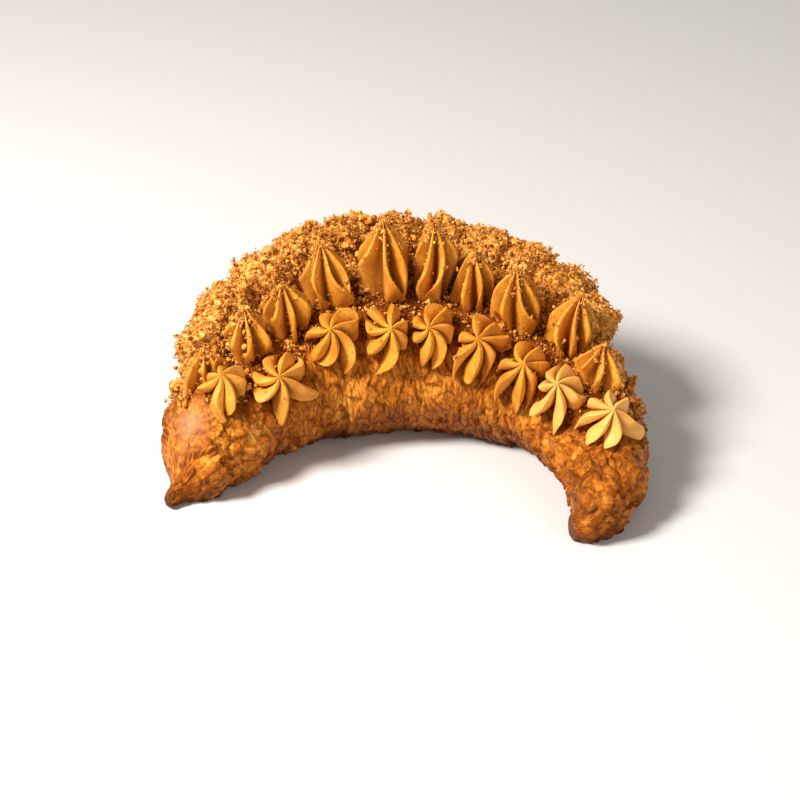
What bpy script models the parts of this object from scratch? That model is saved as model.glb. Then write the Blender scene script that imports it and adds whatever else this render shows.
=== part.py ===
"""Crescent pastry with rows of piped cream stars and a scatter of coarse crumbs.

The dough is one solid, swept along a horseshoe centre line and flat where it rests.
Every cream star is its own solid, seated on the dough with a hair's gap.
Crumbs are fused to whatever they lie on. Sizes are in millimetres until they reach a mesh.
"""

import math
import random
from collections import namedtuple

import bmesh
import bpy
import numpy as np
from mathutils import Matrix, Quaternion, Vector, noise
from mathutils.bvhtree import BVHTree

MM = 0.001
UP = Vector((0.0, 0.0, 1.0))
FORWARD = Vector((0.0, -0.84, 0.54))
ORIGIN = Vector((1.46, 9.07, 0.0))  # where the middle of the finished part's base lies

# The dough's centre line seen from above, left tail to right tip, with its half width and height.
Station = namedtuple("Station", "x y half_width height")
STATIONS = (
    Station(-71.0, -23.0, 1.6, 4.5),
    Station(-67.5, -18.5, 4.0, 9.0),
    Station(-64.5, -14.5, 10.5, 21.0),
    Station(-59.5, -6.5, 15.0, 29.0),
    Station(-50.0, 8.5, 18.5, 35.0),
    Station(-34.0, 23.0, 21.5, 41.0),
    Station(-11.0, 31.0, 24.5, 45.5),
    Station(13.0, 31.5, 24.5, 46.0),
    Station(35.0, 25.5, 22.0, 42.0),
    Station(51.5, 12.0, 18.5, 35.5),
    Station(60.0, -5.0, 15.5, 30.0),
    Station(62.5, -21.0, 12.5, 24.5),
    Station(60.5, -31.5, 10.0, 19.5),
    Station(55.5, -37.0, 6.5, 13.5),
    Station(51.5, -38.5, 2.5, 7.0),
)
RING_SPACING = 3.5
RING_POINTS = 26
FLATTENING = 0.94       # share of the oval section left above the resting plane
FOOT_ANGLE = 62.0       # degrees below the horizontal where the flat foot starts
TIP_LIFT = 1.2          # the tail's end stands this far off the resting plane
LIFTED_WIDTH = 6.0      # half width under which the dough lifts towards its tip
SMOOTH_WIDTH = 12.0     # half width under which the relief dies out

# Where the rolled layers end, as shares of the centre line, and how high each edge stands.
LEFT_EDGES = (0.10, 0.21, 0.34)
RIGHT_EDGES = (0.66, 0.77, 0.87, 0.94)
EDGE_HEIGHT = 1.5
EDGE_SLANT = 0.018      # how far an edge wanders along the line as it goes round
COVERED = (0.11, 0.86)  # the stretch whose top is under the cream, where the edges are pressed flat
PRESSED = 0.2           # share of the edges' height left there
TOP_SINE = 0.25         # sine of the angle where the pressed top starts, fully pressed at twice that
LUMP_HEIGHT = 0.7
LUMP_SIZE = 11.0

# Cream stars in three rows, from the left tip to the right: share of the centre line, degrees
# round the dough from its inner side, radius and height.
Spot = namedtuple("Spot", "share angle radius height")
FRONT = (
    Spot(0.122, 78, 10.5, 10),
    Spot(0.195, 44, 12.0, 11),
    Spot(0.335, 52, 12.5, 11),
    Spot(0.428, 48, 12.0, 11),
    Spot(0.510, 48, 12.0, 11),
    Spot(0.600, 47, 12.5, 11),
    Spot(0.702, 44, 12.5, 12),
    Spot(0.787, 58, 12.5, 11),
    Spot(0.858, 92, 12.0, 10),
)
RIDGE = (
    Spot(0.130, 106, 10.5, 11),
    Spot(0.199, 86, 11.5, 16),
    Spot(0.272, 84, 12.0, 17),
    Spot(0.344, 90, 12.0, 21),
    Spot(0.436, 88, 13.0, 26),
    Spot(0.508, 88, 12.5, 25),
    Spot(0.566, 86, 11.0, 19),
    Spot(0.640, 82, 12.0, 20),
    Spot(0.726, 94, 12.0, 20),
    Spot(0.792, 98, 11.5, 14),
)
BACK = (
    Spot(0.165, 122, 9.0, 12),
    Spot(0.226, 126, 11.0, 15.5),
    Spot(0.284, 126, 12.0, 18),
    Spot(0.342, 126, 12.5, 21),
    Spot(0.396, 128, 12.5, 22.5),
    Spot(0.450, 126, 12.5, 19.5),
    Spot(0.504, 128, 12.5, 19.5),
    Spot(0.558, 126, 12.5, 18),
    Spot(0.612, 126, 12.0, 17),
    Spot(0.661, 126, 11.5, 16.5),
    Spot(0.708, 122, 10.5, 14),
)
# How a petal reaches out on its way up: shares of a star's height and radius.
PEAKED = ((0.0, 0.78), (0.14, 0.99), (0.38, 0.88), (0.68, 0.46), (0.94, 0.12))
BLUNT = ((0.0, 0.86), (0.2, 1.00), (0.6, 1.00), (0.86, 0.88), (0.98, 0.50))
# What a row's stars share: the way that they lean and how far towards it from the surface's normal,
# their petals, the depth between two petals as a share of the radius at their edge, how far the
# petals turn about the axis on their way up in radians, the profile and the crumbs stuck on each.
Row = namedtuple("Row", "name spots lean lobes valley twist profile crumbs")
ROWS = (
    Row("front", FRONT, (FORWARD, 0.30), 7, 0.30, (0.45, 0.75), PEAKED, 0),
    Row("ridge", RIDGE, (UP, 0.75), 7, 0.30, (-0.35, 0.35), PEAKED, 2),
    Row("back", BACK, (UP, 0.55), 6, 0.76, (-0.35, 0.35), BLUNT, 4),
)
STAR_GAP = 0.5          # under a star, square to the dough, and between a star and its neighbour
STEEPEST = 0.4          # how far the dough slopes away before the gap grows no more, as a cosine
WAIST = 0.4             # share of a star's height at which it meets its neighbours
NEIGHBOURHOOD = 1.2     # stars further apart than this share of their radii's sum don't meet
FACING = 0.05           # least cosine between a petal and the neighbour that holds it back
LEAST_REACH = 0.15      # share of a petal's reach that a neighbour always leaves
PETAL_EDGE = 0.11       # half a petal's thickness at its edge, as a share of the star's radius
THINNING = 0.3          # share of the radius inside which the edge thins towards the peak
PEAK = 1.02             # the peak's height above the seat, as a share of the star's height
HEART = 0.7             # share of the valleys' reach at which the underside's inner ring lies
RAY_START = 40.0
PROBE = 2.4             # the dough is felt for this far along it to either side of a star's point
SIZE_JITTER = 0.04
TILT_JITTER = 5.0

CRUMB_RADIUS = (0.9, 1.9)
CRUMBS_ON_DOUGH = 46
CRUMB_CLEARANCE = 0.3
CRUMB_SINK = 0.3        # share of its radius that a crumb's middle stands off what it lies on
CRUMB_SPACING = 0.8     # least distance between two crumbs on the dough, as a share of their radii's sum
CRUMB_MARGIN = 1.2      # a crumb's corners stay inside its radius times this
CRUMB_SQUASH = (0.75, 1.2)
STAR_CRUMB = 0.9        # size of the crumbs on a star beside those on the dough
CRUMB_BAND = (0.35, 0.95)   # shares of a star's height between which crumbs stick
CRUMB_ENDS = (0.10, 0.83)
CRUMB_ZONE = (60.0, 186.0)
CRUMB_TRIES = 2500
STAR_TRIES = 200
WELDS = (0.02, 0.005, 0.05, 0.001)  # points of a union nearer than this become one

# Colour, roughness
CRUST = ((0.50, 0.19, 0.035), 0.38)
CREAM = ((0.68, 0.35, 0.10), 0.55)


def clear_scene():
    for obj in list(bpy.data.objects):
        bpy.data.objects.remove(obj)


def material(name, colour, roughness):
    made = bpy.data.materials.new(name)
    made.use_nodes = True
    shader = made.node_tree.nodes["Principled BSDF"]
    shader.inputs["Base Color"].default_value = (*colour, 1.0)
    shader.inputs["Roughness"].default_value = roughness
    return made


def add_object(name, points, faces, surface):
    mesh = bpy.data.meshes.new(name)
    mesh.from_pydata([(p - ORIGIN) * MM for p in points], [], faces)
    mesh.materials.append(surface)
    mesh.shade_smooth()
    mesh.set_sharp_from_angle(angle=math.radians(50.0))
    obj = bpy.data.objects.new(name, mesh)
    bpy.context.scene.collection.objects.link(obj)
    return obj


class Dough:
    """The pastry's outer surface, by share of the centre line and angle round it."""

    def __init__(self):
        self.rows = np.array(STATIONS, float)
        steps = np.linalg.norm(np.diff(self.rows[:, :2], axis=0), axis=1)
        self.length = float(steps.sum())
        self.marks = np.concatenate([[0.0], np.cumsum(steps)]) / self.length
        self.slopes = np.gradient(self.rows, self.marks, axis=0)

    def at(self, share):
        """x, y, half width and height, on a smooth curve through the stations."""
        share = min(max(share, 0.0), 1.0)
        i = min(int(np.searchsorted(self.marks, share, "right")) - 1, len(self.marks) - 2)
        span = self.marks[i + 1] - self.marks[i]
        t = (share - self.marks[i]) / span
        blend = (2 * t**3 - 3 * t**2 + 1, t**3 - 2 * t**2 + t, 3 * t**2 - 2 * t**3, t**3 - t**2)
        return (
            blend[0] * self.rows[i]
            + blend[1] * span * self.slopes[i]
            + blend[2] * self.rows[i + 1]
            + blend[3] * span * self.slopes[i + 1]
        )

    def frame(self, share):
        """Centre, inward direction, half width and height."""
        step = 0.004
        x, y, half_width, height = self.at(share)
        ahead, behind = self.at(share + step), self.at(share - step)
        tangent = Vector((ahead[0] - behind[0], ahead[1] - behind[1], 0.0)).normalized()
        inward = Vector((tangent.y, -tangent.x, 0.0))
        return Vector((x, y, 0.0)), inward, half_width, height

    def edge_relief(self, share, angle):
        """Sawtooth left by the rolled layers: each drops off towards the nearer tip."""
        wander = share + EDGE_SLANT * math.sin(angle * 0.5)
        if wander < 0.5:
            marks = (0.0, *LEFT_EDGES, 0.5)
            i = sum(wander > m for m in marks) - 1
            i = max(i, 0)
            rise = (marks[i + 1] - wander) / (marks[i + 1] - marks[i])
        else:
            marks = (0.5, *RIGHT_EDGES, 1.0)
            i = min(sum(wander >= m for m in marks) - 1, len(marks) - 2)
            rise = (wander - marks[i]) / (marks[i + 1] - marks[i])
        pressed = 1.0
        if COVERED[0] < share < COVERED[1]:
            top = min(max((math.sin(angle) - TOP_SINE) / TOP_SINE, 0.0), 1.0)
            pressed = 1.0 - (1.0 - PRESSED) * top
        return EDGE_HEIGHT * (rise - 0.5) * pressed

    def point(self, share, angle):
        """A point of the surface. Angle 0 is the inner side, 90 degrees the top, 180 the outer."""
        centre, inward, half_width, height = self.frame(share)
        half_height = height / (2.0 * FLATTENING)
        middle = height - half_height
        fade = min(1.0, half_width / SMOOTH_WIDTH)
        spot = centre + inward * half_width * math.cos(angle) + UP * half_height * math.sin(angle)
        lump = noise.noise(spot / LUMP_SIZE) * LUMP_HEIGHT
        grow = (self.edge_relief(share, angle) + lump) * fade
        out = half_width + grow
        rise = half_height + grow
        lift = TIP_LIFT * max(0.0, 1.0 - half_width / LIFTED_WIDTH)
        z = middle + rise * math.sin(angle)
        return centre + inward * out * math.cos(angle) + UP * (max(z, 0.0) + lift)

    def normal(self, share, angle):
        step, turn = 0.006, 0.09
        along = self.point(share + step, angle) - self.point(share - step, angle)
        around = self.point(share, angle + turn) - self.point(share, angle - turn)
        return around.cross(along).normalized() * -1.0


def ring_angles():
    """Even steps over the top from foot to foot, which leaves the foot one flat strip."""
    foot = math.radians(FOOT_ANGLE)
    return [-foot + (math.pi + 2 * foot) * i / (RING_POINTS - 1) for i in range(RING_POINTS)]


def sweep(dough, surface):
    """The dough as rings joined end to end and closed by a fan at each tip."""
    rings = round(dough.length / RING_SPACING)
    angles = ring_angles()
    points = [dough.point(r / rings, a) for r in range(rings + 1) for a in angles]
    n = RING_POINTS
    faces = []
    for r in range(rings):
        for i in range(n):
            a, b = r * n + i, r * n + (i + 1) % n
            faces.append((b, a, a + n, b + n))
    faces.append(tuple(range(n)))
    faces.append(tuple(rings * n + i for i in range(n - 1, -1, -1)))
    return add_object("croissant", points, faces, surface)


Star = namedtuple("Star", "name row seat axis along radius height spin twist")


def place_stars(dough):
    """The stars of every row, each with a seeded unevenness."""
    random.seed(11)
    stars = []
    for row in ROWS:
        for i, spot in enumerate(row.spots):
            angle = math.radians(spot.angle)
            toward, amount = row.lean
            axis = dough.normal(spot.share, angle).lerp(toward, amount).normalized()
            tilt = Vector([random.uniform(-1, 1) for _ in range(3)]) * math.radians(TILT_JITTER)
            scale = 1 + random.uniform(-SIZE_JITTER, SIZE_JITTER)
            stars.append(Star(
                f"cream_{row.name}_{i + 1}", row, dough.point(spot.share, angle),
                (axis + tilt).normalized(), dough.frame(spot.share)[1].cross(UP),
                spot.radius * scale, spot.height * scale,
                random.uniform(0, math.tau), random.uniform(*row.twist),
            ))
    return stars


def planes_between(star, stars):
    """Planes half way to each near star, which a star's petals are pressed flat against."""
    planes = []
    middle = star.seat + star.axis * star.height * WAIST
    for other in stars:
        away = other.seat + other.axis * other.height * WAIST - middle
        if other is star or away.length > (star.radius + other.radius) * NEIGHBOURHOOD:
            continue
        at = middle + away * star.radius / (star.radius + other.radius)
        planes.append((at, away.normalized()))
    return planes


class StarShape:
    """Points of one star in polar form about its axis, kept off the dough and its neighbours."""

    def __init__(self, star, stars, dough_tree):
        self.star = star
        self.tree = dough_tree
        self.planes = planes_between(star, stars)
        self.side = star.axis.orthogonal().normalized()
        self.side.rotate(Quaternion(star.axis, star.spin))
        self.other = star.axis.cross(self.side)

    def direction(self, turn):
        return self.side * math.cos(turn) + self.other * math.sin(turn)

    def foot(self, turn, reach):
        """Height of the dough under a point of the star, along the star's axis."""
        spot = self.star.seat + self.direction(turn) * reach
        heights = []
        for step in (-PROBE, 0.0, PROBE):
            here = spot + self.star.along * step
            hit, normal, _, _ = self.tree.ray_cast(here + self.star.axis * RAY_START, -self.star.axis)
            if hit is None:
                hit, normal, _, _ = self.tree.find_nearest(here)
            gap = STAR_GAP / max(normal.dot(self.star.axis), STEEPEST)
            heights.append((hit - self.star.seat).dot(self.star.axis) + gap)
        return max(heights)

    def held(self, turn, reach, height):
        """The reach left when the petal meets a neighbour's plane."""
        way = self.direction(turn)
        centre = self.star.seat + self.star.axis * height
        for at, away in self.planes:
            facing = way.dot(away)
            if facing > FACING:
                room = ((at - centre).dot(away) - STAR_GAP / 2) / facing
                reach = min(reach, max(room, LEAST_REACH * reach))
        return reach

    def point(self, turn, reach, rise):
        """A point at a share of the way from the foot to the peak."""
        for _ in range(3):
            base = self.foot(turn, reach)
            height = base + (self.star.height - base) * rise
            held = self.held(turn, reach, height)
            if held >= reach:
                break
            reach = held
        return self.star.seat + self.star.axis * height + self.direction(turn) * reach

    def outline(self, rise, share):
        """One ring: for each petal the valley before it and its edge's two corners."""
        star = self.star
        edge = star.radius * share
        valley = edge * star.row.valley
        thinned = min(1.0, edge / (THINNING * star.radius))
        corner = math.atan2(PETAL_EDGE * star.radius, edge) * thinned
        ring = []
        for lobe in range(star.row.lobes):
            middle = math.tau * lobe / star.row.lobes + star.twist * rise
            ring.append((middle - math.pi / star.row.lobes, valley))
            ring.extend([(middle - corner, edge), (middle + corner, edge)])
        return [self.point(turn, reach, rise) for turn, reach in ring]


def add_star(star, stars, dough_tree, surface):
    shape = StarShape(star, stars, dough_tree)
    rings = [shape.outline(rise, share) for rise, share in star.row.profile]
    n = len(rings[0])
    points = [p for ring in rings for p in ring]
    peak = len(points)
    points.append(star.seat + star.axis * star.height * PEAK)
    inner = len(points)
    lobes = star.row.lobes
    step = n // lobes
    for lobe in range(lobes):
        turn = math.tau * (lobe - 0.5) / lobes
        points.append(shape.point(turn, star.radius * star.row.valley * HEART, 0.0))
    heart = len(points)
    points.append(shape.point(0.0, 0.0, 0.0))
    faces = []
    for r in range(len(rings) - 1):
        for i in range(n):
            a, b = r * n + i, r * n + (i + 1) % n
            faces.append((a, b, b + n, a + n))
    last = (len(rings) - 1) * n
    for i in range(n):
        faces.append((last + i, last + (i + 1) % n, peak))
    for lobe in range(lobes):
        here, there = inner + lobe, inner + (lobe + 1) % lobes
        for k in range(step):
            a = (lobe * step + k) % n
            b = (a + 1) % n
            faces.append((b, a, here))
        faces.append((here, there, (lobe * step + step) % n))
        faces.append((there, here, heart))
    return add_object(star.name, points, faces, surface)


def tree_of(obj):
    """A search tree of the object's surface, in millimetres."""
    mesh = obj.data
    points = [v.co / MM + ORIGIN for v in mesh.vertices]
    return BVHTree.FromPolygons(points, [tuple(p.vertices) for p in mesh.polygons])


def crumb(centre, radius, collection):
    """One angular crumb, a squashed and turned icosahedron."""
    mesh = bpy.data.meshes.new("crumb")
    bm = bmesh.new()
    squash = Matrix.Diagonal([random.uniform(*CRUMB_SQUASH) for _ in range(3)]).to_4x4()
    turn = Quaternion([random.uniform(-1, 1) for _ in range(4)]).normalized().to_matrix().to_4x4()
    place = Matrix.Translation((centre - ORIGIN) * MM)
    bmesh.ops.create_icosphere(bm, subdivisions=1, radius=radius * MM, matrix=place @ turn @ squash)
    bm.to_mesh(mesh)
    bm.free()
    obj = bpy.data.objects.new("crumb", mesh)
    collection.objects.link(obj)
    return obj


def clear_of(centre, radius, trees):
    """True if a ball stays off every tree's surface and isn't inside one."""
    for tree in trees:
        near, normal, _, distance = tree.find_nearest(centre)
        if distance < radius + CRUMB_CLEARANCE or (centre - near).dot(normal) < 0:
            return False
    return True


def weld(mesh):
    """Closes a union's slivers, by the first distance that leaves two faces at every edge."""
    for distance in WELDS:
        bm = bmesh.new()
        bm.from_mesh(mesh)
        bmesh.ops.remove_doubles(bm, verts=bm.verts, dist=distance * MM)
        closed = all(len(edge.link_faces) == 2 for edge in bm.edges)
        if closed:
            bm.to_mesh(mesh)
        bm.free()
        if closed:
            return


def fuse(obj, collection):
    """Joins the collection's objects to obj by one union, applies it and removes them."""
    if not collection.objects:
        bpy.data.collections.remove(collection)
        return
    union = obj.modifiers.new("crumbs", "BOOLEAN")
    union.operation = "UNION"
    union.operand_type = "COLLECTION"
    union.collection = collection
    union.solver = "EXACT"
    graph = bpy.context.evaluated_depsgraph_get()
    joined = bpy.data.meshes.new_from_object(obj.evaluated_get(graph))
    obj.modifiers.clear()
    weld(joined)
    obj.data = joined
    for piece in list(collection.objects):
        bpy.data.objects.remove(piece)
    bpy.data.collections.remove(collection)


def crumb_collection():
    made = bpy.data.collections.new("crumbs")
    bpy.context.scene.collection.children.link(made)
    return made


def crumbs_on_dough(dough, croissant, dough_tree, star_trees):
    """Crumbs in the gaps between the stars."""
    random.seed(5)
    collection = crumb_collection()
    placed = []
    for _ in range(CRUMB_TRIES):
        if len(placed) == CRUMBS_ON_DOUGH:
            break
        spot = dough.point(random.uniform(*CRUMB_ENDS), math.radians(random.uniform(*CRUMB_ZONE)))
        radius = random.uniform(*CRUMB_RADIUS)
        near, normal, _, _ = dough_tree.find_nearest(spot)
        centre = near + normal * radius * CRUMB_SINK
        apart = all((centre - c).length > CRUMB_SPACING * (radius + r) for c, r in placed)
        if apart and clear_of(centre, radius * CRUMB_MARGIN, star_trees):
            crumb(centre, radius, collection)
            placed.append((centre, radius))
    fuse(croissant, collection)


def crumbs_on_star(star, obj, others):
    """Crumbs stuck to the upper flanks of one star."""
    tree = tree_of(obj)
    collection = crumb_collection()
    placed = []
    for _ in range(STAR_TRIES):
        if len(placed) == star.row.crumbs:
            break
        turn = Quaternion(star.axis, random.uniform(0, math.tau))
        out = star.axis.orthogonal().normalized()
        out.rotate(turn)
        start = star.seat + star.axis * star.height * random.uniform(*CRUMB_BAND) + out * RAY_START
        hit, normal, _, _ = tree.ray_cast(start, -out)
        radius = random.uniform(*CRUMB_RADIUS) * STAR_CRUMB
        if hit is None or normal.dot(UP) < 0.0:
            continue
        centre = hit + normal * radius * CRUMB_SINK
        apart = all((centre - c).length > CRUMB_MARGIN * (radius + r) for c, r in placed)
        if apart and clear_of(centre, radius * CRUMB_MARGIN, others):
            crumb(centre, radius, collection)
            placed.append((centre, radius))
    fuse(obj, collection)


def build():
    clear_scene()
    crust = material("crust", *CRUST)
    cream = material("cream", *CREAM)
    dough = Dough()
    croissant = sweep(dough, crust)
    dough_tree = tree_of(croissant)
    stars = place_stars(dough)
    piped = {star.name: add_star(star, stars, dough_tree, cream) for star in stars}
    trees = {name: tree_of(obj) for name, obj in piped.items()}
    crumbs_on_dough(dough, croissant, dough_tree, list(trees.values()))
    topped_tree = tree_of(croissant)
    for star in stars:
        if star.row.crumbs:
            others = [topped_tree] + [tree for name, tree in trees.items() if name != star.name]
            crumbs_on_star(star, piped[star.name], others)


build()
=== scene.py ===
"""Looks of the crescent pastry: flaky crust, piped cream stars and coarse golden crumbs.

Shapes are worked out in millimetres about the dough's own drawing point, and moved to the
frame's origin as each mesh is made.
"""

import math
import random
from collections import namedtuple

import bmesh
import bpy
import numpy as np
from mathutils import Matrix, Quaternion, Vector, noise
from mathutils.bvhtree import BVHTree

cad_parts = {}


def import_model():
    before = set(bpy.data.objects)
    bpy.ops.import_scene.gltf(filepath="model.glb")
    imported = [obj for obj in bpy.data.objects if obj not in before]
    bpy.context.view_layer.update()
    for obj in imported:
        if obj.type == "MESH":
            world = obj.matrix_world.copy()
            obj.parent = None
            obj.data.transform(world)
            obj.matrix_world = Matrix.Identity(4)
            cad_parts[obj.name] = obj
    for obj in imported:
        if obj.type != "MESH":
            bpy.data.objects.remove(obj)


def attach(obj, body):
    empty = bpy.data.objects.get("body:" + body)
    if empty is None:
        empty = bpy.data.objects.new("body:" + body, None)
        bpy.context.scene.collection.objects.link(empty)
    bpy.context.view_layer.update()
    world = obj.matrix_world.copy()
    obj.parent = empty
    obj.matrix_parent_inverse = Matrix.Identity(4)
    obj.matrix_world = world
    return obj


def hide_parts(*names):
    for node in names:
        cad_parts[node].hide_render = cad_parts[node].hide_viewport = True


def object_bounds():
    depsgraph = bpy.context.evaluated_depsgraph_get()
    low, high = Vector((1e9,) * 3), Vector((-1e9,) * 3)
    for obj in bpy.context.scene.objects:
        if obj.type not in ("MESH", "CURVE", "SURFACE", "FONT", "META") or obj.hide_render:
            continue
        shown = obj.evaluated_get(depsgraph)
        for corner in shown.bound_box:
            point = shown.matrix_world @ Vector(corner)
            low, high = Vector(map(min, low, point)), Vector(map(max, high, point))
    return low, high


MM = 0.001
UP = Vector((0.0, 0.0, 1.0))
FORWARD = Vector((0.0, -0.84, 0.54))
ORIGIN = np.array((1.46, 9.07, 0.0))

# The dough's centre line seen from above, with its half width and height.
STATIONS = (
    (-71.0, -23.0, 1.6, 4.5),
    (-67.5, -18.5, 4.0, 9.0),
    (-64.5, -14.5, 10.5, 21.0),
    (-59.5, -6.5, 15.0, 29.0),
    (-50.0, 8.5, 18.5, 35.0),
    (-34.0, 23.0, 21.5, 41.0),
    (-11.0, 31.0, 24.5, 45.5),
    (13.0, 31.5, 24.5, 46.0),
    (35.0, 25.5, 22.0, 42.0),
    (51.5, 12.0, 18.5, 35.5),
    (60.0, -5.0, 15.5, 30.0),
    (62.5, -21.0, 12.5, 24.5),
    (60.5, -31.5, 10.0, 19.5),
    (55.5, -37.0, 6.5, 13.5),
    (51.5, -38.5, 2.5, 7.0),
)
RINGS = 440
RING_POINTS = 190
SEAT_RINGS = 120
SEAT_POINTS = 60
FLATTENING = 0.94
FOOT_ANGLE = 62.0
TIP_LIFT = 1.2
LIFTED_WIDTH = 6.0      # half width below which a tip lifts off the table
SMOOTH_WIDTH = 12.0     # half width from which the layers have their full height
LEFT_EDGES = (0.10, 0.21, 0.34)
RIGHT_EDGES = (0.66, 0.77, 0.87, 0.94)
EDGE_HEIGHT = 1.5
EDGE_SLANT = 0.018
COVERED = (0.11, 0.86)
PRESSED = 0.2
TOP_SINE = 0.25         # sine of the angle round the dough from which its top is pressed
LUMP_HEIGHT = 0.7
LUMP_SIZE = 11.0
LINE_STEP = 0.004       # share of the line between the places that give its direction
NORMAL_STEPS = (0.006, 0.09)  # share and angle between the places that give a normal

# Fine relief of the crust. Heights and sizes along and around the dough are in millimetres, and
# place is where in the noise a relief is taken from.
Bumps = namedtuple("Bumps", "height size place")
FIBRES = Bumps(0.16, (1.3, 4.6), 3.7)
BLISTERS = Bumps(0.45, (2.6, 4.8), 12.1)
BLISTER_ROUNDING = 0.8
FIBRE_LOSS = 0.6        # how much of their height the fibres lose on the horns
FLAKE_WANDER = (Bumps(3.2, 8.0, 31.0), Bumps(2.4, 6.0, 37.0))
# A flake's height and size, the seed of its table, how much of its height shows in the middle of
# the dough and how much more on the horns, and its part in the crust's tone and rims.
Flake = namedtuple("Flake", "height along around seed middle horns tone rim")
BROAD_FLAKE = Flake(1.25, 4.4, 6.6, 3, 0.75, 0.5, 0.6, 0.7)
SMALL_FLAKE = Flake(0.75, 1.9, 3.1, 4, 0.7, 0.6, 0.4, 0.5)
FLAKE_TABLE = 64        # flakes before their random values come round again
FLAKE_TILT = 1.1
FLAKE_RIM = 0.16        # breadth of a flake's rim beside the flake's size
FLAKE_WIDTH = 9.0       # half width of the dough from which its flakes have their full height
HORNS = (0.19, 0.22)    # share of the line that the rougher crust of each horn takes up
LEAST_GIRTH = 7.0       # half width that the skin coordinates never go below
SKIN_SCALE = 0.01       # skin coordinates for each millimetre

# How dark the crust is: baked all over, by flake, in patches and at the tips, darker low down,
# and painted shade under the cream.
BakeAndShade = namedtuple("BakeAndShade", "ground flakes patches tips low covered")
BAKE_AND_SHADE = BakeAndShade(0.22, 0.42, 0.24, 0.45, 0.3, 0.45)
PATCH_NOISE = (14.0, 51.0)      # size and place in the noise
TIP_FADES = (0.03, 0.05)        # share of the line over which the dark of each tip fades
LOW_SINES = (0.1, 0.7)          # sine where the foot's dark starts and how far it takes to be full
CREAM_SINES = (0.45, 0.35)      # the same for the painted shade under the cream
CREAM_START = (0.08, 0.13)      # shares of the line over which that painted shade comes in and ends
CREAM_END = (0.84, 0.9)
# The pink bloom: its place along the line and round the dough in degrees, and its reach.
Bloom = namedtuple("Bloom", "share along angle around")
BLOOM = Bloom(0.066, 0.018, 98.0, 0.4)

Spot = namedtuple("Spot", "share angle radius height")
FRONT = (
    Spot(0.122, 78, 10.5, 10),
    Spot(0.195, 44, 12.0, 11),
    Spot(0.335, 52, 12.5, 11),
    Spot(0.428, 48, 12.0, 11),
    Spot(0.510, 48, 12.0, 11),
    Spot(0.600, 47, 12.5, 11),
    Spot(0.702, 44, 12.5, 12),
    Spot(0.787, 58, 12.5, 11),
    Spot(0.858, 92, 12.0, 10),
)
RIDGE = (
    Spot(0.130, 106, 10.5, 11),
    Spot(0.199, 86, 11.5, 16),
    Spot(0.272, 84, 12.0, 17),
    Spot(0.344, 90, 12.0, 21),
    Spot(0.436, 88, 13.0, 26),
    Spot(0.508, 88, 12.5, 25),
    Spot(0.566, 86, 11.0, 19),
    Spot(0.640, 82, 12.0, 20),
    Spot(0.726, 94, 12.0, 20),
    Spot(0.792, 98, 11.5, 14),
)
BACK = (
    Spot(0.165, 122, 9.0, 12),
    Spot(0.226, 126, 11.0, 15.5),
    Spot(0.284, 126, 12.0, 18),
    Spot(0.342, 126, 12.5, 21),
    Spot(0.396, 128, 12.5, 22.5),
    Spot(0.450, 126, 12.5, 19.5),
    Spot(0.504, 128, 12.5, 19.5),
    Spot(0.558, 126, 12.5, 18),
    Spot(0.612, 126, 12.0, 17),
    Spot(0.661, 126, 11.5, 16.5),
    Spot(0.708, 122, 10.5, 14),
)
PEAKED = (
    (0.0, 0.74), (0.1, 0.93), (0.24, 1.0), (0.42, 0.92), (0.62, 0.66), (0.8, 0.38), (0.93, 0.15),
    (1.0, 0.03),
)
OPEN = (
    (0.0, 0.80), (0.08, 0.97), (0.2, 1.0), (0.38, 0.87), (0.58, 0.60), (0.77, 0.33), (0.92, 0.12),
    (1.0, 0.03),
)
BLUNT = ((0.0, 0.86), (0.2, 1.0), (0.6, 1.0), (0.86, 0.88), (0.96, 0.62), (1.0, 0.25))
# A row's way to lean and how far, petals, depth between them, turn on the way up, profile, the
# most that a petal curls, half its thickness at the edge and how far its flanks swell, in
# millimetres, and the shortest and longest petal beside the star's radius.
Row = namedtuple("Row", "name spots lean lobes valley twist profile bend half swell reach")
ROWS = (
    Row("front", FRONT, (FORWARD, 0.30), 7, 0.20, (0.45, 0.75), PEAKED, 0.65, 0.38, 1.50, (0.90, 1.20)),
    Row("ridge", RIDGE, (UP, 0.75), 7, 0.24, (-0.35, 0.35), OPEN, 0.85, 0.75, -0.10, (0.88, 1.14)),
    Row("back", BACK, (UP, 0.55), 6, 0.66, (-0.35, 0.35), BLUNT, 0.5, 1.3, 0.3, (0.84, 1.12)),
)
# How far the stars that the light falls on most strongly go towards the lit cream colour, as painted
# light.
PAINTED_LIGHT = {"cream_front_1": 0.1, "cream_front_2": 0.1, "cream_front_8": 0.5, "cream_front_9": 0.55}
PAINTED_LIGHT_LOSS = 0.8         # how much of that painted light the valleys between the petals lose
STAR_SEED = 11
SIZE_JITTER = 0.04
TILT_JITTER = 5.0       # degrees
SINK = 0.3              # the cream's foot is pressed this far into the crust
VALLEY_SHADE = (0.60, 0.24)   # share of a petal's reach where the painted shade in the valleys starts and is full

# Where a star gives way to its neighbours: share of its height at which they are measured, how
# near they must be beside both radii, the gap and least room in millimetres, and how gently a
# petal turned towards one is pressed back.
WAIST = 0.4
NEIGHBOURHOOD = 1.2
NEIGHBOUR_GAP = 0.15
LEAST_ROOM = 0.5
FACING = 0.05
SOFTNESS = 7.0
PRESSES = 2

# Polar grid of the dough's height under a star, which reaches a little past the star's radius.
GROUND_TURNS = 32
GROUND_RINGS = 9
GROUND_REACH = 1.25
LAST_CELL = 1.001       # keeps a place at the grid's rim inside its last cell
RAY_START = 40.0        # how far out rays towards the dough start

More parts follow.
